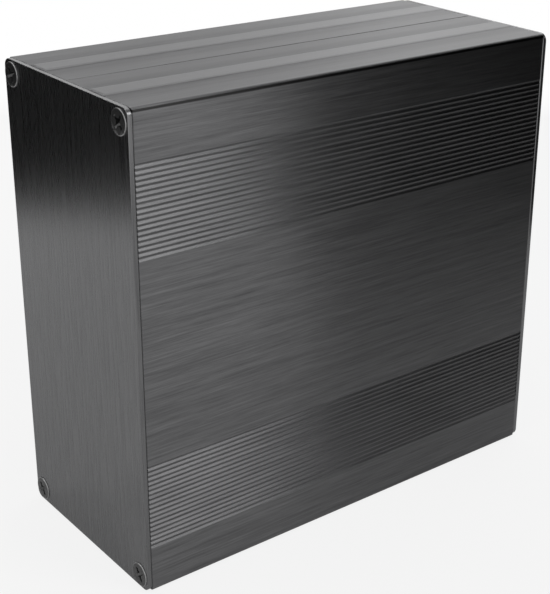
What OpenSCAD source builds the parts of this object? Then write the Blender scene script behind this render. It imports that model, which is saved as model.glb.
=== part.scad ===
// Split-body extruded aluminium enclosure.
// Two identical half shells are extruded from one die and interlock along a
// tongue and a groove. Two flat end plates close the body, each held by four
// countersunk screws that run into ports in the corners of the extrusion.
// X runs along the extrusion, the large ribbed faces look along -Y and +Y,
// and the enclosure stands on the strips of one narrow face at Z = 0.

/* [Body] */
// Length of the two extruded shells
body_l = 150; // [60:1:300]
// Depth over the two large ribbed faces
body_d = 68; // [58:0.5:120]
// Height over the two narrow faces, without their strips
body_h = 145; // [100:0.5:240]
// Wall thickness of the shells
wall = 2; // [1.6:0.1:3]
// Radius of the long outer edges of the shells
edge_r = 1.2; // [0.4:0.1:1.8]

/* [Ribs of the large faces] */
// Number of V grooves in each of the two bands
rib_count = 18; // [6:1:24]
// Distance from one groove to the next
rib_pitch = 1.51; // [1.2:0.01:1.8]
// Depth of the grooves
rib_depth = 0.4; // [0.2:0.05:0.8]
// Flat crest left between two grooves
rib_land = 0.15; // [0.1:0.05:0.4]
// Distance from the narrow face to the nearest groove
rib_inset = 14.5; // [8:0.5:18]

/* [Strips of the narrow faces] */
// Width of each raised strip, halfway up its sloping sides
strip_w = 8; // [4:0.5:12]
// Width of the slope on each side of a strip
strip_slope = 1; // [0.2:0.1:2]
// Height of each raised strip
strip_h = 0.4; // [0.2:0.1:1]
// Distance from the seam to the nearest side of a strip, halfway up
strip_off = 12.2; // [6:0.1:14]

/* [Seam between the shells] */
// Length of the tongue beyond the seam
tongue_l = 3; // [2:0.1:4]
// Clearance around the tongue in its groove
tongue_play = 0.1; // [0.05:0.05:0.2]
// Thickness of the cheek on the inner side of the groove
cheek_t = 1.2; // [0.8:0.1:2]
// Width of the chamfer on both outer edges of the seam
seam_chamfer = 0.25; // [0.1:0.05:0.5]

/* [Board slots] */
// Thickness of the circuit board that the slots take
board_t = 1.6; // [1:0.1:2]
// Clearance of the board in a slot
board_play = 0.2; // [0.1:0.05:0.4]
// Thickness of the rails beside a slot
rail_t = 1.2; // [0.8:0.1:1.6]
// Height of the rails above the wall
rail_h = 2.2; // [1.2:0.1:3]
// Number of slots in each narrow wall of a shell
slot_count = 2; // [1:1:2]
// Distance from the large outer face to the first slot
slot_inset = 13; // [12:0.5:14]
// Distance from one slot to the next
slot_pitch = 7; // [5.5:0.5:7.5]

/* [Screw ports] */
// Distance from the outer faces to the axis of a port
port_inset = 4.25; // [4:0.05:5.5]
// Thickness of the ring around the bore of a port
port_ring = 1.5; // [1:0.1:2]
// Width of the slit that opens a port towards the inside
port_slit = 1.6; // [1:0.1:2.2]

/* [End plates] */
// Thickness of the end plates
plate_t = 1.5; // [1.5:0.1:4]
// Corner radius of the end plates
plate_r = 2.5; // [0.5:0.1:3]

/* [Screws] */
// Outer diameter of the thread
screw_d = 4; // [3.5:0.1:4.2]
// Core diameter of the thread
core_d = 3.4; // [2.8:0.1:3.4]
// Length of a screw with its head
screw_l = 12; // [8:1:25]
// Diameter of the head
head_d = 7.4; // [7:0.1:8]
// Height of the straight rim above the cone of the head
head_rim = 0.1; // [0.05:0.05:0.5]
// Span of the cross recess
recess_span = 4.6; // [3.6:0.1:5]
// Width of each arm of the cross recess
recess_w = 0.9; // [0.6:0.1:1.2]
// Depth of the cross recess
recess_depth = 1.5; // [0.8:0.1:1.5]
// Clearance between screws, bores and countersinks
screw_play = 0.05; // [0.02:0.01:0.1]
// Clearance of the thread in the end plate
hole_play = 0.15; // [0.1:0.05:0.25]

/* [Hidden] */
$fn = 64;
over = 1;                                   // how far a cutter runs past a face
half_d = body_d / 2;
half_h = body_h / 2;
mid_z = strip_h + half_h;                   // height of the body's centre line
lip_t = wall / 2;                           // wall left outside the groove
groove_in = wall + tongue_play;             // depth of the groove's inner side
groove_l = tongue_l + tongue_play;
block_l = groove_l + cheek_t;
slot_w = board_t + board_play;
rib_w = rib_pitch - rib_land;
bore_d = core_d + 2 * screw_play;
port_d = bore_d + 2 * port_ring;
hole_d = screw_d + 2 * hole_play;
sink_d = min(head_d, screw_d + 2 * plate_t); // the cone ends at the inner face
head_out = (head_d - sink_d) / 2 + screw_play * sqrt(2);
cone_h = (head_d - screw_d) / 2;
tip_h = core_d / 4;
recess_end = recess_span / 3;
left_turns = [26, 50, 35, 35];              // the screws stop at any angle
right_turns = [17, 71, 38, 5];

// ---------- the extrusion's section: x is depth (Y), y is height (Z) ----------

module rounded_rect(w, h, r) {
    square([w - 2 * r, h], center = true);
    square([w, h - 2 * r], center = true);
    for (sx = [-1, 1], sy = [-1, 1])
        translate([sx * (w / 2 - r), sy * (h / 2 - r)]) circle(r);
}

// A raised strip with sloping sides, which run on into the wall by the strip's own height
module strip() {
    root = (strip_w + 3 * strip_slope) / 2;
    crest = (strip_w - strip_slope) / 2;
    polygon([[-root, -strip_h], [root, -strip_h], [crest, strip_h], [-crest, strip_h]]);
}

// Outer form of the whole body: walls and the four raised strips
module body_section() {
    difference() {
        rounded_rect(body_d, body_h, edge_r);
        square([body_d - 2 * wall, body_h - 2 * wall], center = true);
    }
    for (side = [-1, 1], turn = [0, 180])
        rotate(turn) translate([side * (strip_off + strip_w / 2), half_h]) strip();
}

// Two rails with a board slot between them, standing on the upper narrow wall
module board_rails() {
    for (i = [0 : slot_count - 1], s = [-1, 1])
        translate([-half_d + slot_inset + i * slot_pitch + s * (slot_w + rail_t) / 2,
                   half_h - wall - rail_h / 2 + over / 2])
            square([rail_t, rail_h + over], center = true);
}

// Material around one screw port, joined to both walls of its corner
module port_body() {
    circle(d = port_d);
    translate([-port_inset + edge_r, 0]) square([port_inset - edge_r, port_inset - edge_r]);
}

module port_cut() {
    circle(d = bore_d);
    rotate(-45) translate([0, -port_slit / 2]) square([port_d, port_slit]);
}

// One band of V grooves in the large face, counted from the upper narrow face
module rib_grooves() {
    for (i = [0 : rib_count - 1])
        translate([-half_d, half_h - rib_inset - (i + 0.5) * rib_pitch])
            polygon([[-over, rib_w / 2], [0, rib_w / 2], [rib_depth, 0],
                     [0, -rib_w / 2], [-over, -rib_w / 2]]);
}

module at_port() {
    translate([-half_d + port_inset, half_h - port_inset]) children();
}

module both_ends() {
    children();
    mirror([0, 1]) children();
}

module half_section() {
    difference() {
        union() {
            intersection() {
                body_section();
                translate([-body_d, -body_h]) square([body_d, 2 * body_h]);
            }
            both_ends() {
                board_rails();
                at_port() port_body();
            }
            // tongue on the upper edge
            translate([-over, half_h - wall])
                square([over + tongue_l, wall - lip_t - tongue_play]);
            // thick block for the groove on the lower edge
            translate([-block_l, -half_h + over])
                square([block_l, groove_in + cheek_t - over]);
        }
        both_ends() {
            rib_grooves();
            at_port() port_cut();
            translate([0, half_h]) rotate(45)
                square(seam_chamfer * sqrt(2), center = true);
        }
        translate([-groove_l, -half_h + lip_t])
            square([groove_l + over, groove_in - lip_t]);
    }
}

module half_shell() {
    rotate([90, 0, 90])
        linear_extrude(body_l, center = true, convexity = 10) half_section();
}

// ---------- end plate and screw, drawn lying with the outer side up ----------

module at_plate_corners() {
    for (sx = [-1, 1], sy = [-1, 1])
        translate([sx * (half_h - port_inset), sy * (half_d - port_inset)]) children();
}

module end_plate() {
    difference() {
        translate([0, 0, -plate_t])
            linear_extrude(plate_t) rounded_rect(body_h, body_d, plate_r);
        at_plate_corners() {
            translate([0, 0, -plate_t - over])
                cylinder(d = hole_d, h = plate_t + 2 * over);
            translate([0, 0, -(sink_d - screw_d) / 2])
                cylinder(d1 = screw_d, d2 = sink_d + 2 * over, h = (sink_d - screw_d) / 2 + over);
        }
    }
}

module cross_recess() {
    intersection() {
        translate([0, 0, -recess_depth])
            cylinder(d1 = recess_end, d2 = recess_span, h = recess_depth);
        for (a = [0, 90]) rotate(a)
            cube([2 * recess_span, recess_w, 3 * recess_depth], center = true);
    }
}

// A screw with the top of its head at height zero
module screw(turn) {
    shank_l = screw_l - head_rim - cone_h;
    difference() {
        union() {
            translate([0, 0, -head_rim]) cylinder(d = head_d, h = head_rim);
            translate([0, 0, -head_rim - cone_h])
                cylinder(d1 = screw_d, d2 = head_d, h = cone_h);
            translate([0, 0, -screw_l + tip_h]) cylinder(d = core_d, h = shank_l - tip_h);
            translate([0, 0, -screw_l])
                cylinder(d1 = core_d / 2, d2 = core_d, h = tip_h);
        }
        rotate(turn) cross_recess();
    }
}

module plate_screws(turns) {
    positions = [[1, 1], [1, -1], [-1, 1], [-1, -1]];
    for (i = [0 : 3])
        translate([positions[i].x * (half_h - port_inset),
                   positions[i].y * (half_d - port_inset), head_out + head_rim])
            screw(turns[i]);
}

// Carries a lying end piece to the left end of the body, its outer side to -X
module at_left_end() {
    translate([-body_l / 2 - plate_t, 0, mid_z]) rotate([0, -90, 0]) children();
}

// ---------- the pieces ----------

module front_shell() {
    color("#333538") translate([0, 0, mid_z]) half_shell();
}

module back_shell() {
    color("#333538") translate([0, 0, mid_z]) rotate([180, 0, 0]) half_shell();
}

module left_end_plate() {
    color("#26282b") at_left_end() end_plate();
}

module right_end_plate() {
    color("#26282b") mirror([1, 0, 0]) at_left_end() end_plate();
}

module left_plate_screws() {
    color("#1d1e20") at_left_end() plate_screws(left_turns);
}

module right_plate_screws() {
    color("#1d1e20") mirror([1, 0, 0]) at_left_end() plate_screws(right_turns);
}

front_shell();
back_shell();
left_end_plate();
right_end_plate();
left_plate_screws();
right_plate_screws();
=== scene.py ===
# %% [markdown]
# # An extruded aluminium enclosure
# The real object is a case for electronics. Two half shells, cut from one long extrusion, lock into
# each other along a tongue and a groove, and a flat plate closes each end with four countersunk
# screws. All of it is brushed and then anodised black.
#
# A case like this could be drawn as a rounded box with a striped texture. It would look right from
# the front only, because most of its look comes from small real edges: V grooves, the chamfered
# seam, the rims of the plates. So every piece is modelled to its true section.
#
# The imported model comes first. Each size and place that it can give is read from it.

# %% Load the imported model
import math

import bmesh
import bpy
from mathutils import Matrix, Vector


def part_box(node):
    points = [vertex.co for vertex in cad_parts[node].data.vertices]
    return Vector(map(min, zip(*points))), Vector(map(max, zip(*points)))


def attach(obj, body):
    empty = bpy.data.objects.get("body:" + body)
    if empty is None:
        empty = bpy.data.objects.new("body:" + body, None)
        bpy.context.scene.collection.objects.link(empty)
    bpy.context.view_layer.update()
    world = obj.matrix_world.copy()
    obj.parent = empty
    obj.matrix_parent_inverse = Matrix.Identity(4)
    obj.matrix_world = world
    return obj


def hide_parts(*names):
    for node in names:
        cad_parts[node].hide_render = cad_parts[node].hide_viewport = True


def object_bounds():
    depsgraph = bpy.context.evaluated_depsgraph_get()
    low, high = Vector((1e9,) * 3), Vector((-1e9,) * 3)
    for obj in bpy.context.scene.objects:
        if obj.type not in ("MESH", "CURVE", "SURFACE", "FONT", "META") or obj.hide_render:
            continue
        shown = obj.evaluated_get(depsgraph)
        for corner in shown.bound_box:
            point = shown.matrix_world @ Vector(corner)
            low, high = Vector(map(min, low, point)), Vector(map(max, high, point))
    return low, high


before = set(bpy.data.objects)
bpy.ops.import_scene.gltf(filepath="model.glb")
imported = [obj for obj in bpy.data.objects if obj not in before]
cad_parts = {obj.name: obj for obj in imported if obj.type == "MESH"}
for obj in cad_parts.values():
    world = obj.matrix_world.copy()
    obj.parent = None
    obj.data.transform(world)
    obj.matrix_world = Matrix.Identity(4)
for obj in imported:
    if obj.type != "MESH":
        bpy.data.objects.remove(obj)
cad_low, cad_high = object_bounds()
print("CAD box in mm:", [round(1000 * side, 2) for side in cad_high - cad_low])

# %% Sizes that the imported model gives
MM = 0.001
shell_low, shell_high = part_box("front_shell")
plate_low, plate_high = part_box("left_end_plate")
screws_low, screws_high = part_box("left_plate_screws")

BODY_L = shell_high.x - shell_low.x
HALF_D = -shell_low.y
HALF_H = (plate_high.z - plate_low.z) / 2
MID_Z = (plate_high.z + plate_low.z) / 2
STRIP_H = plate_low.z - shell_low.z
TONGUE_L = shell_high.y
PLATE_T = plate_high.x - plate_low.x
SCREW_L = screws_high.x - screws_low.x
HEAD_OUT = plate_low.x - screws_low.x
print(f"body {BODY_L / MM:.1f} mm long, end plates {PLATE_T / MM:.1f} mm thick")

# %% [markdown]
# ## Drawing a section
# An extrusion is one outline pushed through a die, so the outline is worth drawing with care. In
# Blender a vertex can be extruded like a pen: each stroke leaves an edge behind. A straight stroke
# is `extrude_vert_indiv`, and a round one is `spin` on that single vertex.
#
# The alternative is a box that is cut by many boolean cutters. That gives the same form, but leaves
# slivers where cuts meet, and these spoil reflections in metal.

# %% A pen that draws in the plane of the section
ARC_STEP = 9.0  # degrees turned by one edge of a round stroke


def line_to(bm, pen, y, z):
    """Draws a straight stroke to (y, z) and returns the new end of the outline."""
    end = bmesh.ops.extrude_vert_indiv(bm, verts=[pen])["verts"][0]
    end.co = (pen.co.x, y, z)
    return end


def only(kind, parts):
    """Picks the parts of one kind out of what an operator returns."""
    return [part for part in parts if isinstance(part, kind)]


def arc_by(bm, pen, centre, degrees):
    """Draws a round stroke about centre; positive degrees turn from +Y towards +Z."""
    spun = bmesh.ops.spin(
        bm,
        geom=[pen],
        cent=(pen.co.x, *centre),
        axis=(1, 0, 0),
        angle=math.radians(degrees),
        steps=max(2, round(abs(degrees) / ARC_STEP)),
    )
    return only(bmesh.types.BMVert, spun["geom_last"])[0]


def vert_at(bm, y, z):
    """Finds the vertex of the outline that lies at (y, z)."""
    return min(bm.verts, key=lambda v: (v.co.y - y) ** 2 + (v.co.z - z) ** 2)


# %% [markdown]
# ## The outer side of a half shell
# Seen from its end, a half shell is a C. Its outer side starts at the seam, steps over the raised
# strip that the case stands on, rounds the corner, and runs down the large face through eighteen
# V grooves. The other half of the C has the same features, so only one half is drawn, and then
# mirrored.

# %% Outer side
EDGE_R = 1.2 * MM
SEAM_CHAMFER = 0.25 * MM
STRIP_W = 8 * MM
STRIP_OFF = 12.2 * MM
STRIP_SLOPE = 1 * MM
RIB_COUNT = 18
RIB_PITCH = 1.51 * MM
RIB_LAND = 0.15 * MM
RIB_DEPTH = 0.4 * MM
RIB_INSET = 14.5 * MM
STRIP_Y = STRIP_OFF + STRIP_W / 2  # from the seam to the middle of a strip


def draw_outer_side(bm, x):
    """Draws from the chamfer of the seam to the middle of the large face."""
    pen = bm.verts.new((x, -SEAM_CHAMFER, HALF_H))
    foot = (STRIP_W + STRIP_SLOPE) / 2
    crest = (STRIP_W - STRIP_SLOPE) / 2
    pen = line_to(bm, pen, -STRIP_Y + foot, HALF_H)
    pen = line_to(bm, pen, -STRIP_Y + crest, HALF_H + STRIP_H)
    pen = line_to(bm, pen, -STRIP_Y - crest, HALF_H + STRIP_H)
    pen = line_to(bm, pen, -STRIP_Y - foot, HALF_H)
    pen = line_to(bm, pen, -HALF_D + EDGE_R, HALF_H)
    pen = arc_by(bm, pen, (-HALF_D + EDGE_R, HALF_H - EDGE_R), 90)
    for i in range(RIB_COUNT):
        middle = HALF_H - RIB_INSET - (i + 0.5) * RIB_PITCH
        half_w = (RIB_PITCH - RIB_LAND) / 2
        pen = line_to(bm, pen, -HALF_D, middle + half_w)
        pen = line_to(bm, pen, -HALF_D + RIB_DEPTH, middle)
        pen = line_to(bm, pen, -HALF_D, middle - half_w)
    line_to(bm, pen, -HALF_D, 0)


# %% [markdown]
# ## The inner side
# Inside, the narrow walls carry rails with board slots between them, and each corner has a port: a
# ring that is slit open, so that the die can form its bore. The end screws cut their thread into
# it. The ring is drawn as two short arcs outside and one long arc round the bore.

# %% Inner side
WALL = 2 * MM
SLOT_W = 1.8 * MM
RAIL_T = 1.2 * MM
RAIL_H = 2.2 * MM
SLOTS_Y = [-14 * MM, -21 * MM]
INNER_START = SLOTS_Y[0] + SLOT_W / 2 + RAIL_T  # where the first rail stands up from the wall
PORT_INSET = 4.25 * MM
PORT_R = 3.25 * MM
BORE_R = 1.75 * MM
SLIT_W = 1.6 * MM
SLIT_AT = -45  # degrees; the slit of a port looks towards the middle of the case


def draw_rails(bm, pen):
    """Draws two rails beside each board slot, and returns the pen."""
    wall_z = HALF_H - WALL
    for slot_y in SLOTS_Y:
        for side in (1, -1):
            near = slot_y + side * SLOT_W / 2 + (RAIL_T if side > 0 else 0)
            pen = line_to(bm, pen, near, wall_z) if pen.co.y > near else pen
            pen = line_to(bm, pen, near, wall_z - RAIL_H)
            pen = line_to(bm, pen, near - RAIL_T, wall_z - RAIL_H)
            pen = line_to(bm, pen, near - RAIL_T, wall_z)
    return pen


def draw_port(bm, pen):
    """Draws the slit ring of a screw port, from one wall to the other."""
    centre = Vector((-HALF_D + PORT_INSET, HALF_H - PORT_INSET))
    to_wall = PORT_INSET - WALL
    foot = math.sqrt(PORT_R**2 - to_wall**2)
    foot_angle = math.degrees(math.atan2(to_wall, foot))
    ring_gap = math.degrees(math.asin(SLIT_W / 2 / PORT_R))
    bore_gap = math.degrees(math.asin(SLIT_W / 2 / BORE_R))
    ring_turn = -(foot_angle - SLIT_AT - ring_gap)

    def on_circle(radius, degrees):
        angle = math.radians(degrees)
        return centre + radius * Vector((math.cos(angle), math.sin(angle)))

    pen = line_to(bm, pen, centre.x + foot, HALF_H - WALL)
    pen = arc_by(bm, pen, centre, ring_turn)
    pen = line_to(bm, pen, *on_circle(BORE_R, SLIT_AT + bore_gap))
    pen = arc_by(bm, pen, centre, 360 - 2 * bore_gap)
    pen = line_to(bm, pen, *on_circle(PORT_R, SLIT_AT - ring_gap))
    return arc_by(bm, pen, centre, ring_turn)


def draw_inner_side(bm, x):
    """Draws from the first rail to the middle of the large wall."""
    pen = bm.verts.new((x, INNER_START, HALF_H - WALL))
    pen = draw_rails(bm, pen)
    pen = draw_port(bm, pen)
    line_to(bm, pen, -HALF_D + WALL, 0)


# %% [markdown]
# ## The seam
# The two ends of the C differ. The upper one carries a tongue, half as thick as the wall, and the
# lower one a block with the groove for it. Turned by half a turn about X, the same shell becomes
# the back one, and each tongue meets a groove.

# %% Tongue and groove
LIP_T = WALL / 2
TONGUE_PLAY = 0.1 * MM
CHEEK_T = 1.2 * MM


def draw_seam(bm, start, path, goal):
    """Joins the outer side to the inner side along the points of path."""
    pen = start
    for y, z in path:
        pen = line_to(bm, pen, y, z)
    bm.edges.new((pen, goal))


def tongue_path():
    tongue_top = HALF_H - LIP_T - TONGUE_PLAY
    return [
        (0, HALF_H - SEAM_CHAMFER),
        (0, tongue_top),
        (TONGUE_L, tongue_top),
        (TONGUE_L, HALF_H - WALL),
    ]


def groove_path():
    groove_in = WALL + TONGUE_PLAY
    groove_l = TONGUE_L + TONGUE_PLAY
    block_z = -HALF_H + groove_in + CHEEK_T
    return [
        (0, -HALF_H + SEAM_CHAMFER),
        (0, -HALF_H + LIP_T),
        (-groove_l, -HALF_H + LIP_T),
        (-groove_l, -HALF_H + groove_in),
        (0, -HALF_H + groove_in),
        (0, block_z),
        (-groove_l - CHEEK_T, block_z),
        (-groove_l - CHEEK_T, -HALF_H + WALL),
    ]


# %% The whole section
CUT_EDGE = 0.15 * MM  # chamfer left by deburring the sawn ends
CLOSE = 1e-6  # metres; places nearer to each other than this count as one


def shell_section():
    """Returns a mesh that holds the section as one face, ready to be extruded along X."""
    bm = bmesh.new()
    x = -BODY_L / 2 + CUT_EDGE
    draw_outer_side(bm, x)
    draw_inner_side(bm, x)
    bmesh.ops.mirror(bm, geom=bm.verts[:] + bm.edges[:], axis="Z", merge_dist=CLOSE)
    for sign, path in ((1, tongue_path()), (-1, groove_path())):
        start = vert_at(bm, -SEAM_CHAMFER, sign * HALF_H)
        goal = vert_at(bm, INNER_START, sign * (HALF_H - WALL))
        draw_seam(bm, start, path, goal)
    bmesh.ops.contextual_create(bm, geom=bm.edges[:])
    return bm


# %% [markdown]
# ## From section to shell
# Extruding the face along X gives the shell, with sharp edges. Three things finish it. The crests
# and roots of the grooves get a tiny bevel, as on real tooling, and so do the strips: in a dark
# metal these fine rounds are what catches the light. The cut ends get their chamfer by an inset
# that moves outwards, which follows every bend of the outline and can't collide as a bevel would.
# Last, the ends of the strips are filed to a slope, so that no dark step stands above the plates.

# %% Shell helpers
ROUND_CREST = 0.07 * MM
ROUND_ROOT = 0.18 * MM
ROUND_STRIP = 0.5 * MM
FILED = 1.2  # how far the end of a strip leans back for each unit of its height
SLACK = 0.1  # a vertex lies on a level if it is this share of the feature's height away, or less
SQUARE = 0.99  # a face is square to an axis if its normal has this much of that axis
WELD = CLOSE / 10  # vertices nearer to each other than this are merged


def long_edges(bm, wanted):
    """The edges that run along X at places (y, z) for which wanted is true."""
    found = []
    for edge in bm.edges:
        a, b = (v.co for v in edge.verts)
        if abs(a.x - b.x) > BODY_L / 2 and wanted(a.y, a.z):
            found.append(edge)
    return found


def round_over(bm, edges, radius, segments):
    """Rounds edges with a circular bevel."""
    bmesh.ops.bevel(
        bm,
        geom=edges,
        offset=radius,
        offset_type="OFFSET",
        segments=segments,
        profile=0.5,
        affect="EDGES",
        material=-1,
        clamp_overlap=True,
    )


def is_crest(y, z):
    band_end = HALF_H - RIB_INSET - RIB_COUNT * RIB_PITCH
    return y < -HALF_D + RIB_DEPTH * SLACK and band_end < abs(z) < HALF_H - RIB_INSET


def is_root(y, z):
    return abs(y + HALF_D - RIB_DEPTH) < RIB_DEPTH * SLACK and abs(z) < HALF_H - RIB_INSET


def is_strip(y, z):
    return abs(z) > HALF_H + STRIP_H * (1 - SLACK)


def end_faces(bm):
    """The faces that look along X."""
    return [face for face in bm.faces if abs(face.normal.x) > SQUARE]


def file_strip_ends(bm):
    """Slopes the ends of the strips back from the rims of the plates."""
    for level in (HALF_H, -HALF_H):
        ends = end_faces(bm)
        geom = ends + list({edge for face in ends for edge in face.edges})
        bmesh.ops.bisect_plane(
            bm, geom=geom, dist=WELD, plane_co=(0, 0, level), plane_no=(0, 0, 1)
        )
    for vert in bm.verts:
        above = abs(vert.co.z) - HALF_H
        if above > CLOSE and abs(vert.co.x) > BODY_L / 2 - 2 * CUT_EDGE:
            vert.co.x -= math.copysign(above * FILED, vert.co.x)


def half_shell():
    """Extrudes the section along X and finishes its edges."""
    bm = shell_section()
    pushed = bmesh.ops.extrude_face_region(bm, geom=bm.faces[:])["geom"]
    moved = only(bmesh.types.BMVert, pushed)
    bmesh.ops.translate(bm, verts=moved, vec=(BODY_L - 2 * CUT_EDGE, 0, 0))
    bmesh.ops.recalc_face_normals(bm, faces=bm.faces[:])
    for wanted, radius, segments in (
        (is_crest, ROUND_CREST, 2),
        (is_root, ROUND_ROOT, 3),
        (is_strip, ROUND_STRIP, 4),
    ):
        round_over(bm, long_edges(bm, wanted), radius, segments)
    bmesh.ops.inset_region(
        bm,
        faces=end_faces(bm),
        thickness=CUT_EDGE,
        depth=CUT_EDGE,
        use_boundary=True,
        use_even_offset=True,
    )
    file_strip_ends(bm)
    return bm


# %% [markdown]
# ## Colours and nodes
# Colours are written as the sRGB hex values that a colour picker shows, and turned to the linear
# values that the shader works with. One helper adds a node, sets it and links it.

# %% Colour and node helpers


def linear(code):
    """Turns an sRGB hex colour into linear RGBA."""
    parts = [int(code[i : i + 2], 16) / 255 for i in (1, 3, 5)]
    return [p / 12.92 if p <= 0.04045 else ((p + 0.055) / 1.055) ** 2.4 for p in parts] + [1.0]


def add_node(tree, kind, inputs=None, **settings):
    """Adds one node. An input is given a value, or a socket to be linked to."""
    node = tree.nodes.new("ShaderNode" + kind)
    for key, value in settings.items():
        setattr(node, key, value)
    for key, value in (inputs or {}).items():
        if isinstance(value, bpy.types.NodeSocket):
            tree.links.new(value, node.inputs[key])
        else:
            node.inputs[key].default_value = value
    return node


def new_material(name):
    """Makes a material whose tree holds only its output."""
    material = bpy.data.materials.new(name)
    material.use_nodes = True
    tree = material.node_tree
    tree.nodes.clear()
    return material, tree, add_node(tree, "OutputMaterial")


# %% [markdown]
# ## Brushed, black anodised aluminium
# The sheet or extrusion is brushed with an abrasive belt, which leaves fine parallel scratches, and
# anodising then grows a dyed oxide over them. The eye sees a dark grey metal: sharp along the
# scratches and smeared across them, with faint streaks of lighter and darker grey.
#
# The smear is the shader's anisotropy, whose tangent lies along the scratches. The streaks are
# noise, stretched twenty to forty times along the same axis. They vary the colour, the roughness
# and a slight bump. Real scratches are some 0.05 mm wide, too fine to show from here, so the noise
# is drawn as coarse as the visible bundles that they form.
#
# The narrow faces are tinted paler on the raised strips, and on the ground well away from a strip,
# than on the ground right beside one. The rounded upper edges mirror the dark side of the room as a
# thin black line, which the wide smear would wash out, so a darker tint paints that reflection in.

# %% Streaks left by the belt
STREAK_CONTRAST = 0.75  # how strongly each finer layer of the noise shows


def streaks(tree, place, along, width, length, detail):
    """Noise stretched along the axis number along, as a value about 0.5."""
    scale = [1 / width] * 3
    scale[along] = 1 / length
    spot = add_node(tree, "Mapping", {"Vector": place, "Scale": scale})
    noise = add_node(
        tree,
        "TexNoise",
        {
            "Vector": spot.outputs["Vector"],
            "Scale": 1.0,
            "Detail": detail,
            "Roughness": STREAK_CONTRAST,
        },
    )
    return noise.outputs["Fac"]


# %% Tints of the narrow faces
PALE_TINT = "#a3a3a4"
STRIP_PALER = 0.28  # share of the pale tint on a strip
SLOPE_PART = (0.4, 0.6)  # it sets in between these shares of the strip's height
GROUND_PALER = 0.1  # share of the pale tint on the ground, far from a strip
GROUND_FADE = 0.1 * MM  # it sets in this far below the ground, on the rounded edge
FAR_ENOUGH = 1.5  # strip widths from the middle of a strip to where that share is full
# The thin dark line along the rounded upper edges is painted: it stands for the dark side of the
# room that they mirror.
EDGE_REFLECTION_TINT = "#2a2a2a"
EDGE_LINE = (1.1, 0.8, 0.5, 0.25)  # it sets in, is full, fades and is gone, in radii below the top
RANGE = ("Value", "From Min", "From Max", "To Min", "To Max")  # inputs of a Map Range node


def paler_strips_and_painted_edge_line(tree, place, colour):
    """Tints the narrow faces paler on the strips and away from them, and paints a dark reflection
    line along the upper edges.
    """
    parts = add_node(tree, "SeparateXYZ", {"Vector": place}).outputs
    rise = add_node(tree, "Math", {0: parts["Z"], 1: MID_Z}, operation="SUBTRACT").outputs[0]
    reach = add_node(tree, "Math", {0: rise}, operation="ABSOLUTE").outputs[0]
    depth = add_node(tree, "Math", {0: parts["Y"]}, operation="ABSOLUTE").outputs[0]
    aside = add_node(tree, "Math", {0: depth, 1: STRIP_Y}, operation="SUBTRACT").outputs[0]
    aside = add_node(tree, "Math", {0: aside}, operation="ABSOLUTE").outputs[0]

    slope = [HALF_H + STRIP_H * share for share in SLOPE_PART]
    sets_in, full, fades, gone = (HALF_H - EDGE_R * share for share in EDGE_LINE)
    ground, far, strip, begun, lasting = (
        add_node(
            tree, "MapRange", dict(zip(RANGE, limits)), interpolation_type="SMOOTHSTEP"
        ).outputs["Result"]
        for limits in (
            (reach, HALF_H - GROUND_FADE, HALF_H, 0.0, 1.0),
            (aside, STRIP_W, STRIP_W * FAR_ENOUGH, 0.0, GROUND_PALER),
            (reach, *slope, 0.0, STRIP_PALER),
            (rise, sets_in, full, 0.0, 1.0),
            (rise, fades, gone, 1.0, 0.0),
        )
    )
    paler = add_node(tree, "Math", {0: ground, 1: far}, operation="MULTIPLY").outputs[0]
    line = add_node(tree, "Math", {0: begun, 1: lasting}, operation="MULTIPLY").outputs[0]
    # Mixes in the pale tint, then the dark line painted in for the reflection of the room's dark
    # side.
    for amount, tint in ((paler, PALE_TINT), (strip, PALE_TINT), (line, EDGE_REFLECTION_TINT)):
        sockets = {"Factor": amount, 6: colour, 7: linear(tint)}
        colour = add_node(tree, "Mix", sockets, data_type="RGBA").outputs[2]
    return colour


# %% Brushed aluminium
BAND_W = 3.5 * MM  # broad, faint bands lie over the fine streaks
BAND_L = 260 * MM
BAND_DETAIL = 2.0
BAND_SHARE = 0.12
NOISE_LOW, NOISE_HIGH = 0.3, 0.7  # the noise seldom leaves these limits
SCRATCH_DEPTH = 0.02 * MM
SMEAR = 0.95
QUARTER_TURN = 0.25  # turns the smear from along the tangent to across it


def brushed_aluminium(name, along, grain, dark, light, tangent, rough, relief):
    """Anodised aluminium brushed along axis number along: 0 is X and 2 is Z."""
    material, tree, out = new_material(name)
    place = add_node(tree, "TexCoord").outputs["Object"]
    fine = streaks(tree, place, along, *grain)
    broad = streaks(tree, place, along, BAND_W, BAND_L, BAND_DETAIL)
    both = add_node(
        tree, "Mix", {"Factor": BAND_SHARE, 2: fine, 3: broad}, data_type="FLOAT"
    ).outputs[0]
    tone, rough = (
        add_node(
            tree, "MapRange", dict(zip(RANGE, (noise, NOISE_LOW, NOISE_HIGH, *ends)))
        ).outputs["Result"]
        for noise, ends in ((both, (0.0, 1.0)), (fine, rough))
    )
    colour = add_node(
        tree, "Mix", {"Factor": tone, 6: linear(dark), 7: linear(light)}, data_type="RGBA"
    ).outputs[2]
    # On the shells, the pale tints and the painted dark edge reflection are mixed into the colour.
    if along == 0:
        colour = paler_strips_and_painted_edge_line(tree, place, colour)
    bump = add_node(
        tree, "Bump", {"Height": fine, "Strength": relief, "Distance": SCRATCH_DEPTH}
    ).outputs["Normal"]
    axis = add_node(tree, "CombineXYZ", dict(zip("XYZ", tangent))).outputs["Vector"]
    shader = add_node(
        tree,
        "BsdfPrincipled",
        {
            "Base Color": colour,
            "Metallic": 1.0,
            "Roughness": rough,
            "Anisotropic": SMEAR,
            "Anisotropic Rotation": QUARTER_TURN,
            "Tangent": axis,
            "Normal": bump,
        },
    )
    tree.links.new(shader.outputs["BSDF"], out.inputs["Surface"])
    return material


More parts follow.
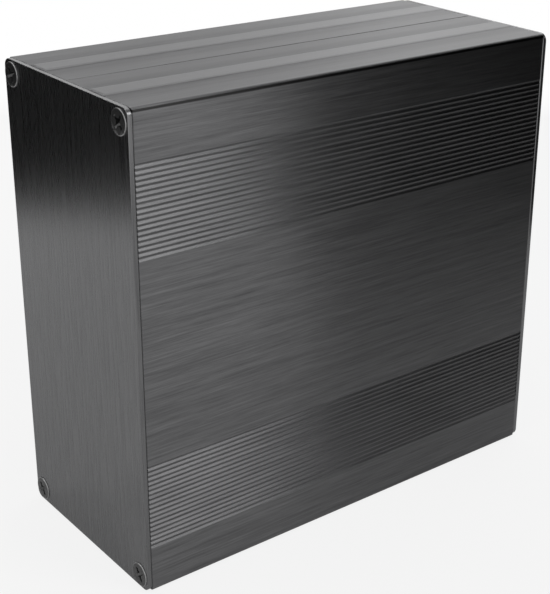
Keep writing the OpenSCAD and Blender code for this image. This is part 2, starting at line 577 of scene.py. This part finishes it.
# %% Shell and plate metals
# The two shells come from different bars, so one took a shade less dye than the other. The grain
# is the width, the length and the detail of the streaks. The tangents lean a little, so that they
# are never square to a narrow face that shows.
shell_metals = [
    brushed_aluminium(
        f"Black anodised aluminium, brushed lengthwise, bar {bar}",
        along=0,
        grain=(0.7 * MM, 24 * MM, 5.0),
        dark=dark,
        light=light,
        tangent=(1.0, 0.0, 0.04),
        rough=(0.34, 0.40),
        relief=0.2,
    )
    for bar, dark, light in ((1, "#525253", "#727273"), (2, "#565657", "#777778"))
]
plate_metal = brushed_aluminium(
    "Black anodised aluminium, brushed upright",
    along=2,
    grain=(0.9 * MM, 20 * MM, 2.0),
    dark="#6f6f70",
    light="#828283",
    tangent=(0.0, 0.05, 1.0),
    rough=(0.26, 0.29),
    relief=0.04,
)
print("materials:", [metal.name for metal in (*shell_metals, plate_metal)])

# %% [markdown]
# ## Finishing a piece
# Every finished mesh goes through the same steps: doubles are merged, normals point outwards, and
# edges steeper than thirty degrees stay sharp. The Weighted Normal modifier keeps large flat faces
# flat in shading where a small round touches them.

# %% Finish a mesh
SHARP = math.radians(30)


def finish_piece(bm, name, node, slot, *materials):
    """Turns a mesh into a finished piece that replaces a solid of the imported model."""
    bmesh.ops.remove_doubles(bm, verts=bm.verts[:], dist=WELD)
    bmesh.ops.recalc_face_normals(bm, faces=bm.faces[:])
    for face in bm.faces:
        face.smooth = True
    for edge in bm.edges:
        edge.smooth = edge.is_manifold and edge.calc_face_angle() < SHARP
    open_edges = sum(not edge.is_manifold for edge in bm.edges)
    mesh = bpy.data.meshes.new(name)
    bm.to_mesh(mesh)
    bm.free()
    for material in materials:
        mesh.materials.append(material)
    piece = bpy.data.objects.new(name, mesh)
    bpy.context.collection.objects.link(piece)
    weighted = piece.modifiers.new("Flat faces stay flat", "WEIGHTED_NORMAL")
    weighted.keep_sharp = True
    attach(piece, "root")
    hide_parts(node)
    print(f"{name}: {len(mesh.polygons)} faces, {open_edges} open edges")
    return piece


# %% Both half shells
for name, node, turn, metal in (
    ("front_half_shell", "front_shell", 0, shell_metals[0]),
    ("back_half_shell", "back_shell", math.pi, shell_metals[1]),
):
    shell = half_shell()
    place = Matrix.Translation((0, 0, MID_Z)) @ Matrix.Rotation(turn, 4, "X")
    bmesh.ops.transform(shell, matrix=place, verts=shell.verts[:])
    finish_piece(shell, name, node, "shell", metal)

# %% [markdown]
# ## End plates
# Each plate is a stamped blank with rounded corners, slightly broken edges, and four countersunk
# holes. The blank is a rectangle whose corner vertices are bevelled, pushed to its thickness, with
# its rims rounded. Holes come last: the outer and inner faces are taken out, each countersink is
# drawn as a circle that is extruded and shrunk, and the faces are filled in again around them.

# %% Plate blank
PLATE_R = 2.5 * MM
CORNER_STEPS = 8
OUTER_RIM = 0.2 * MM
INNER_RIM = 0.25 * MM


def lies_at(edge, level):
    """True for an edge whose two ends are at this height."""
    return all(abs(vert.co.z - level) < CLOSE for vert in edge.verts)


def plate_blank():
    """A rounded blank. X is its height and Y its width, with the outer face at Z = 0."""
    bm = bmesh.new()
    bmesh.ops.create_grid(bm, x_segments=1, y_segments=1, size=1)
    bmesh.ops.scale(bm, vec=(HALF_H, HALF_D, 1), verts=bm.verts[:])
    bmesh.ops.bevel(
        bm,
        geom=bm.verts[:],
        offset=PLATE_R,
        offset_type="OFFSET",
        segments=CORNER_STEPS,
        profile=0.5,
        affect="VERTICES",
        material=-1,
    )
    pushed = bmesh.ops.extrude_face_region(bm, geom=bm.faces[:])["geom"]
    moved = only(bmesh.types.BMVert, pushed)
    bmesh.ops.translate(bm, verts=moved, vec=(0, 0, -PLATE_T))
    bmesh.ops.recalc_face_normals(bm, faces=bm.faces[:])
    for level, radius, segments in ((0, OUTER_RIM, 3), (-PLATE_T, INNER_RIM, 1)):
        rim = [edge for edge in bm.edges if lies_at(edge, level)]
        round_over(bm, rim, radius, segments)
    return bm


# %% Countersunk holes
SCREW_D = 4 * MM
HEAD_D = 7.4 * MM
HOLE_R = 2.15 * MM
SINK_R = SCREW_D / 2 + PLATE_T
SINK_STEPS = 48


def corner_places():
    """The four screw axes on a lying plate, as (along the height, along the depth)."""
    reach_h = HALF_H - PORT_INSET
    reach_d = HALF_D - PORT_INSET
    return [(h * reach_h, d * reach_d) for h in (1, -1) for d in (1, -1)]


def push_ring(bm, edges, centre, depth, factor):
    """Extrudes a ring of edges downwards and scales it about its axis."""
    pushed = bmesh.ops.extrude_edge_only(bm, edges=edges)["geom"]
    verts = only(bmesh.types.BMVert, pushed)
    bmesh.ops.translate(bm, verts=verts, vec=(0, 0, -depth))
    to_axis = Matrix.Translation((-centre[0], -centre[1], 0))
    bmesh.ops.scale(bm, vec=(factor, factor, 1), space=to_axis, verts=verts)
    return only(bmesh.types.BMEdge, pushed)


def drill(bm):
    """Opens both faces of the blank and fills them again round four countersinks."""
    flat = [face for face in bm.faces if abs(face.normal.z) > SQUARE]
    large = [face for face in flat if len(face.verts) > 4 * CORNER_STEPS]
    bmesh.ops.delete(bm, geom=large, context="FACES_ONLY")
    cone = SINK_R - HOLE_R
    for centre in corner_places():
        matrix = Matrix.Translation((*centre, 0))
        ring = bmesh.ops.create_circle(bm, segments=SINK_STEPS, radius=SINK_R, matrix=matrix)
        edges = list({edge for vert in ring["verts"] for edge in vert.link_edges})
        edges = push_ring(bm, edges, centre, cone, HOLE_R / SINK_R)
        push_ring(bm, edges, centre, PLATE_T - cone, 1.0)
    for level, up in ((0, 1), (-PLATE_T, -1)):
        open_rims = [edge for edge in bm.edges if edge.is_boundary and lies_at(edge, level)]
        bmesh.ops.triangle_fill(
            bm, edges=open_rims, use_beauty=True, use_dissolve=False, normal=(0, 0, up)
        )


# %% Both end plates
def stand_up(side):
    """Carries a lying end piece to an end of the body: side is -1 for the left, 1 for the right."""
    turn = Matrix(((0, 0, side), (0, -side, 0), (1, 0, 0))).to_4x4()
    return Matrix.Translation((side * (BODY_L / 2 + PLATE_T), 0, MID_Z)) @ turn


for side, word in ((-1, "left"), (1, "right")):
    plate = plate_blank()
    drill(plate)
    bmesh.ops.transform(plate, matrix=stand_up(side), verts=plate.verts[:])
    finish_piece(plate, f"{word}_plate", f"{word}_end_plate", "end_plate", plate_metal)

# %% [markdown]
# ## Screws
# A countersunk M4 screw with a cross recess, turned from steel wire and blackened. The head starts
# as a disc with a cross in it. The cross comes from a grid of nine squares without its corners,
# whose inner corners are rounded as the driver's wings need. Everything below the disc is the same
# ring of edges, extruded and scaled again and again: the rounded rim that stands just above the
# plate, the cone, the core. The thread is a small triangle that is spun about the axis while it
# sinks, one pitch for each turn.

# %% Screw recess
RECESS_SPAN = 4.6 * MM
RECESS_W = 0.9 * MM
RECESS_DEPTH = 1.5 * MM
RECESS_FLARE = 0.75 * MM
RECESS_TAPER = 1 / 3  # the ends of the arms draw in to this share of their reach
FLARE_TAPER = 0.8  # and the rounded inner corners to this one
ARM_END = 0.4  # share of the span beyond which a vertex belongs to the end of an arm


def recess_outline(bm):
    """Makes the cross as one face, with rounded inner corners."""
    bmesh.ops.create_grid(bm, x_segments=3, y_segments=3, size=1)
    for vert in bm.verts:
        for axis in (0, 1):
            outer = abs(vert.co[axis]) > 0.5  # the lines of the grid lie at 1/3 and at 1
            width = RECESS_SPAN if outer else RECESS_W
            vert.co[axis] = math.copysign(width / 2, vert.co[axis])
    corners = [f for f in bm.faces if min(map(abs, f.calc_center_median().xy)) > RECESS_W]
    bmesh.ops.delete(bm, geom=corners, context="FACES")
    bmesh.ops.dissolve_faces(bm, faces=bm.faces[:])
    inner = [vert for vert in bm.verts if max(map(abs, vert.co.xy)) < RECESS_W]
    bmesh.ops.bevel(
        bm,
        geom=inner,
        offset=RECESS_FLARE,
        segments=3,
        profile=0.5,
        affect="VERTICES",
        material=-1,
    )


def sink_recess(bm, face):
    """Pushes the cross down and draws in the ends of its arms."""
    pushed = bmesh.ops.extrude_face_region(bm, geom=[face])["geom"]
    for vert in only(bmesh.types.BMVert, pushed):
        far = 0 if abs(vert.co.x) > abs(vert.co.y) else 1
        at_end = abs(vert.co[far]) > RECESS_SPAN * ARM_END
        vert.co[far] *= RECESS_TAPER if at_end else FLARE_TAPER
        vert.co.z -= RECESS_DEPTH
    bmesh.ops.delete(bm, geom=[face], context="FACES_ONLY")


# %% Screw body
CORE_R = 1.7 * MM
HEAD_ROUND = 0.22 * MM
ROUND_MIDDLE = 0.3  # the middle of that round lies this share of it in from the corner
HEAD_RIM = 0.1 * MM
SHELF = 0.07 * MM  # height above the plate at which the upright rim ends
NECK = 0.2 * MM
HEAD_STEPS = 40
HIGHLIGHT_RINGS = 3  # how many rings below the flat top get the paler rim material, a painted highlight
TIP_H = CORE_R / 2
CONE_END = HEAD_RIM + (HEAD_D - SCREW_D) / 2


def screw_profile():
    """Radius and depth of the screw, from below its flat top down to its tip."""
    head_r = HEAD_D / 2
    inset = HEAD_ROUND * ROUND_MIDDLE
    return [
        (head_r - inset, inset),
        (head_r, HEAD_ROUND),
        (head_r, HEAD_OUT - SHELF),
        (head_r + HEAD_RIM - HEAD_OUT, HEAD_OUT),
        (SCREW_D / 2, CONE_END),
        (CORE_R, CONE_END + NECK),
        (CORE_R, SCREW_L - TIP_H),
        (CORE_R / 2, SCREW_L),
    ]


# %% Thread
PITCH = 0.7 * MM
THREAD_GAP = 0.4 * MM  # from the cone of the head to the first turn
THREAD_STEPS = 16  # for each turn
RIDGE_HALF = 0.32  # half the foot of the ridge, in pitches
SUNK = 0.97  # the foot of the ridge lies inside the core, at this share of its radius


def add_thread(bm):
    """Winds one closed ridge round the core."""
    start = CONE_END + THREAD_GAP
    turns = int((SCREW_L - TIP_H - start) / PITCH)
    foot = CORE_R * SUNK
    ridge = [(foot, RIDGE_HALF), (SCREW_D / 2, 0), (foot, -RIDGE_HALF)]
    verts = [bm.verts.new((radius, 0, -start + up * PITCH)) for radius, up in ridge]
    face = bm.faces.new(verts)
    bmesh.ops.spin(
        bm,
        geom=[face, *face.edges, *verts],
        cent=(0, 0, 0),
        axis=(0, 0, 1),
        dvec=(0, 0, -PITCH / THREAD_STEPS),
        angle=-math.tau * turns,
        steps=THREAD_STEPS * turns,
    )


# %% The whole screw
def make_screw():
    """A screw that points down, with the top of its head at Z = 0."""
    bm = bmesh.new()
    recess_outline(bm)
    cross = bm.faces[:][0]
    top_r = HEAD_D / 2 - HEAD_ROUND
    ring = bmesh.ops.create_circle(bm, segments=HEAD_STEPS, radius=top_r)
    edges = list({edge for vert in ring["verts"] for edge in vert.link_edges})
    bmesh.ops.triangle_fill(
        bm, edges=edges + cross.edges[:], use_beauty=True, use_dissolve=False, normal=(0, 0, 1)
    )
    sink_recess(bm, cross)
    radius, depth = top_r, 0.0
    for i, (next_radius, next_depth) in enumerate(screw_profile()):
        edges = push_ring(bm, edges, (0, 0), next_depth - depth, next_radius / radius)
        radius, depth = next_radius, next_depth
        # The top rings of the rounded rim get the second, paler material: a painted highlight.
        if i < HIGHLIGHT_RINGS:
            for face in {face for edge in edges for face in edge.link_faces}:
                face.material_index = 1
    bmesh.ops.contextual_create(bm, geom=edges)
    add_thread(bm)
    return bm


# %% [markdown]
# ## Black oxide steel
# The screws are blackened in a hot salt bath. The oxide is thin and slightly rough, so the steel
# stays a little glossy. The rounded rim of the head catches the light as a bright ring, which is
# painted in as a paler grey with a material of its own. The pits of the real bath are too fine to
# show from here, so the grain is drawn coarser.

# %% Screw materials
GRAIN = 0.4 * MM
PIT_DEPTH = 0.05 * MM


def black_oxide_steel(name, dark, light):
    """Steel with a thin oxide, mottled between a dark and a light grey."""
    material, tree, out = new_material(name)
    place = add_node(tree, "TexCoord").outputs["Object"]
    grain = add_node(
        tree, "TexNoise", {"Vector": place, "Scale": 1 / GRAIN, "Detail": 3.0}
    ).outputs["Fac"]
    colour = add_node(
        tree, "Mix", {"Factor": grain, 6: linear(dark), 7: linear(light)}, data_type="RGBA"
    ).outputs[2]
    bump = add_node(
        tree, "Bump", {"Height": grain, "Strength": 0.6, "Distance": PIT_DEPTH}
    ).outputs["Normal"]
    shader = add_node(
        tree,
        "BsdfPrincipled",
        {"Base Color": colour, "Metallic": 1.0, "Roughness": 0.38, "Normal": bump},
    )
    tree.links.new(shader.outputs["BSDF"], out.inputs["Surface"])
    return material


# The second material paints the highlight on the rim of the head in a paler grey.
screw_metals = [
    black_oxide_steel("Black oxide steel", "#363636", "#707070"),
    black_oxide_steel("Black oxide steel, rim painted paler as a highlight", "#8c8c8c", "#b4b4b4"),
]

# %% Eight screws
# The last turn of each screw stops at its own angle. Degrees, in the order of corner_places().
TURNS = {-1: (26, 50, 35, 35), 1: (17, 71, 38, 5)}

for side, word in ((-1, "left"), (1, "right")):
    for i, (height, depth) in enumerate(corner_places()):
        screw = make_screw()
        turn = Matrix.Rotation(math.radians(-side * TURNS[side][i]), 4, "Z")
        seat = Matrix.Translation((height, -side * depth, HEAD_OUT))
        bmesh.ops.transform(screw, matrix=stand_up(side) @ seat @ turn, verts=screw.verts[:])
        name = f"{word}_screw_{i + 1}"
        finish_piece(screw, name, f"{word}_plate_screws", "screw", *screw_metals)

# %% [markdown]
# ## Floor and white surroundings
# A dark metal shows what stands around it, so the room matters as much as the material. The floor
# is a sheet of matt paper. Close to the object it is lit like any paper, and further out it fades
# to plain white, so that floor and surroundings meet without a line. The metal mirrors it just so,
# grey near the object and white far off, which darkens the foot of each face. The camera sees even
# the near part four fifths white, with the object's shadow faint upon it.

# %% Floor
FLOOR = 6.0  # metres from side to side
LIT_NEAR = 0.25  # the paper is plainly lit up to this distance from the middle
WHITE_FAR = 0.55  # and all white from this one on
CAMERA_WHITE = 0.8  # the least share of white that the camera sees


def seen_directly(tree):
    """1 for rays from the camera, from mirrors and through glass, and 0 for diffuse light."""
    path = add_node(tree, "LightPath").outputs
    both = add_node(
        tree, "Math", {0: path["Is Camera Ray"], 1: path["Is Glossy Ray"]}, operation="MAXIMUM"
    ).outputs[0]
    return add_node(
        tree, "Math", {0: both, 1: path["Is Transmission Ray"]}, operation="MAXIMUM"
    ).outputs[0]


def white_paper():
    """Paper that is lit near the object and plain white far from it."""
    material, tree, out = new_material("Matt white paper")
    place = add_node(tree, "TexCoord").outputs["Object"]
    distance = add_node(tree, "VectorMath", {0: place}, operation="LENGTH").outputs["Value"]
    far = add_node(
        tree,
        "MapRange",
        {"Value": distance, "From Min": LIT_NEAR, "From Max": WHITE_FAR},
        interpolation_type="SMOOTHSTEP",
    ).outputs["Result"]
    camera_ray = add_node(tree, "LightPath").outputs["Is Camera Ray"]
    near = add_node(tree, "Math", {0: camera_ray, 1: CAMERA_WHITE}, operation="MULTIPLY").outputs[0]
    far = add_node(tree, "Math", {0: far, 1: near}, operation="MAXIMUM").outputs[0]
    plain = add_node(tree, "Math", {0: far, 1: seen_directly(tree)}, operation="MULTIPLY")
    paper = add_node(tree, "BsdfDiffuse", {"Color": linear("#c0c0c0")}).outputs["BSDF"]
    white = add_node(tree, "Emission", {"Color": linear("#ffffff")}).outputs["Emission"]
    mix = add_node(tree, "MixShader", {0: plain.outputs[0], 1: paper, 2: white})
    tree.links.new(mix.outputs["Shader"], out.inputs["Surface"])
    return material


ground = bmesh.new()
bmesh.ops.create_grid(ground, x_segments=1, y_segments=1, size=FLOOR / 2)
floor_mesh = bpy.data.meshes.new("floor")
ground.to_mesh(floor_mesh)
ground.free()
floor_mesh.materials.append(white_paper())
floor = bpy.data.objects.new("floor", floor_mesh)
floor.location.z = cad_low.z
bpy.context.collection.objects.link(floor)
print(f"floor at z = {floor.location.z / MM:.2f} mm, all white from {WHITE_FAR} m on")

# %% Surroundings
AMBIENT = 0.6  # strength of the light that the room sheds on matt surfaces


def white_room():
    """White to the camera and to mirrors, a little dimmer as a light."""
    world = bpy.data.worlds.new("White room")
    bpy.context.scene.world = world
    world.use_nodes = True
    tree = world.node_tree
    tree.nodes.clear()
    level = add_node(
        tree,
        "MapRange",
        {"Value": seen_directly(tree), "To Min": AMBIENT, "To Max": 1.0},
    ).outputs["Result"]
    light = add_node(tree, "Background", {"Color": linear("#ffffff"), "Strength": level})
    out = add_node(tree, "OutputWorld")
    tree.links.new(light.outputs["Background"], out.inputs["Surface"])


white_room()

# %% [markdown]
# ## Lamps and dark cards
# The key lamp hangs at the front on the right, and a second one above and behind on the right. A
# third fills in from behind on the left, and casts no shadow, so that the floor under the grooves
# stays light. Brushed metal that mirrors white on all sides looks flat and pale. So, as a studio
# does it, two dark cards stand out of sight: the metal shades off to black towards them, and its
# edges and grooves come forward. The cards act on reflections only. They cast no shadow and no
# camera sees them.

# %% Lamps
def soft_lamp(name, spot, size, watts):
    """A square lamp at spot, in metres, with its light towards the middle of the case."""
    lamp = bpy.data.objects.new(name, bpy.data.lights.new(name, "AREA"))
    lamp.data.shape = "SQUARE"
    lamp.data.size = size
    lamp.data.energy = watts
    lamp.location = spot
    to_case = Vector((0, 0, MID_Z)) - Vector(spot)
    lamp.rotation_euler = to_case.to_track_quat("-Z", "Y").to_euler()
    bpy.context.collection.objects.link(lamp)
    print(f"{name} lamp: {watts} W, {to_case.length:.2f} m away")
    return lamp


soft_lamp("Key", (0.31, -0.72, 0.72), 0.4, 2.4)
soft_lamp("Top", (1.0, 0.6, 0.9), 0.7, 2.0)
fill = soft_lamp("Back", (-0.55, 0.6, 0.75), 0.6, 7.5)
fill.data.use_shadow = False

# %% Dark cards
LIFT = 0.03  # metres between the front card and the floor, so that the metal sees floor below it
card_paint, card_tree, card_out = new_material("Black card")
black = add_node(card_tree, "BsdfDiffuse", {"Color": linear("#1c1c1c")})
card_tree.links.new(black.outputs["BSDF"], card_out.inputs["Surface"])


def dark_card(name, start, end, height, lift=0.0):
    """An upright black card from start to end, its lower edge held at lift above the floor."""
    bm = bmesh.new()
    foot = [bm.verts.new((*spot, cad_low.z + lift)) for spot in (start, end)]
    edge = bm.edges.new(foot)
    pushed = bmesh.ops.extrude_edge_only(bm, edges=[edge])["geom"]
    bmesh.ops.translate(bm, verts=only(bmesh.types.BMVert, pushed), vec=(0, 0, height))
    mesh = bpy.data.meshes.new(name)
    bm.to_mesh(mesh)
    bm.free()
    mesh.materials.append(card_paint)
    card = bpy.data.objects.new(name, mesh)
    card.visible_camera = False
    card.visible_diffuse = False
    card.visible_transmission = False
    card.visible_shadow = False
    bpy.context.collection.objects.link(card)


dark_card("card_rear_left", (-0.561, -0.074), (0.074, 0.561), 0.5)
dark_card("card_front_right", (0.084, -0.187), (0.36, 0.02), 0.7, LIFT)

# %% [markdown]
# ## Camera
# A long lens from the front left and slightly above, which shows the large ribbed face, one end
# plate and the upper narrow face. The camera isn't aimed at the middle of the object, and a small
# lens shift brings it back into the frame.

# %% Camera
SENSOR = 36.0  # mm along the longer side of the frame
LENS = 80.424  # mm
SHIFT = (-0.1094, -0.0471)  # in longer sides of the frame
EYE = Vector((-239.1, -315.1, 235.5)) * MM
HEADING = math.radians(39.58)
PITCH_DOWN = math.radians(22.40)
ROLL = math.radians(1.13)

lens = bpy.data.cameras.new("camera")
lens.sensor_width = SENSOR
lens.lens = LENS
lens.shift_x, lens.shift_y = SHIFT
camera = bpy.data.objects.new("camera", lens)
camera.matrix_world = (
    Matrix.Translation(EYE)
    @ Matrix.Rotation(-HEADING, 4, "Z")
    @ Matrix.Rotation(math.radians(90) - PITCH_DOWN, 4, "X")
    @ Matrix.Rotation(ROLL, 4, "Z")
)
bpy.context.collection.objects.link(camera)
bpy.context.scene.camera = camera
bpy.context.scene.view_settings.view_transform = "Standard"
print(f"{LENS} mm lens, {(EYE - Vector((0, 0, MID_Z))).length:.2f} m from the middle of the case")

# %% Bring the scene up to date
bpy.context.view_layer.update()
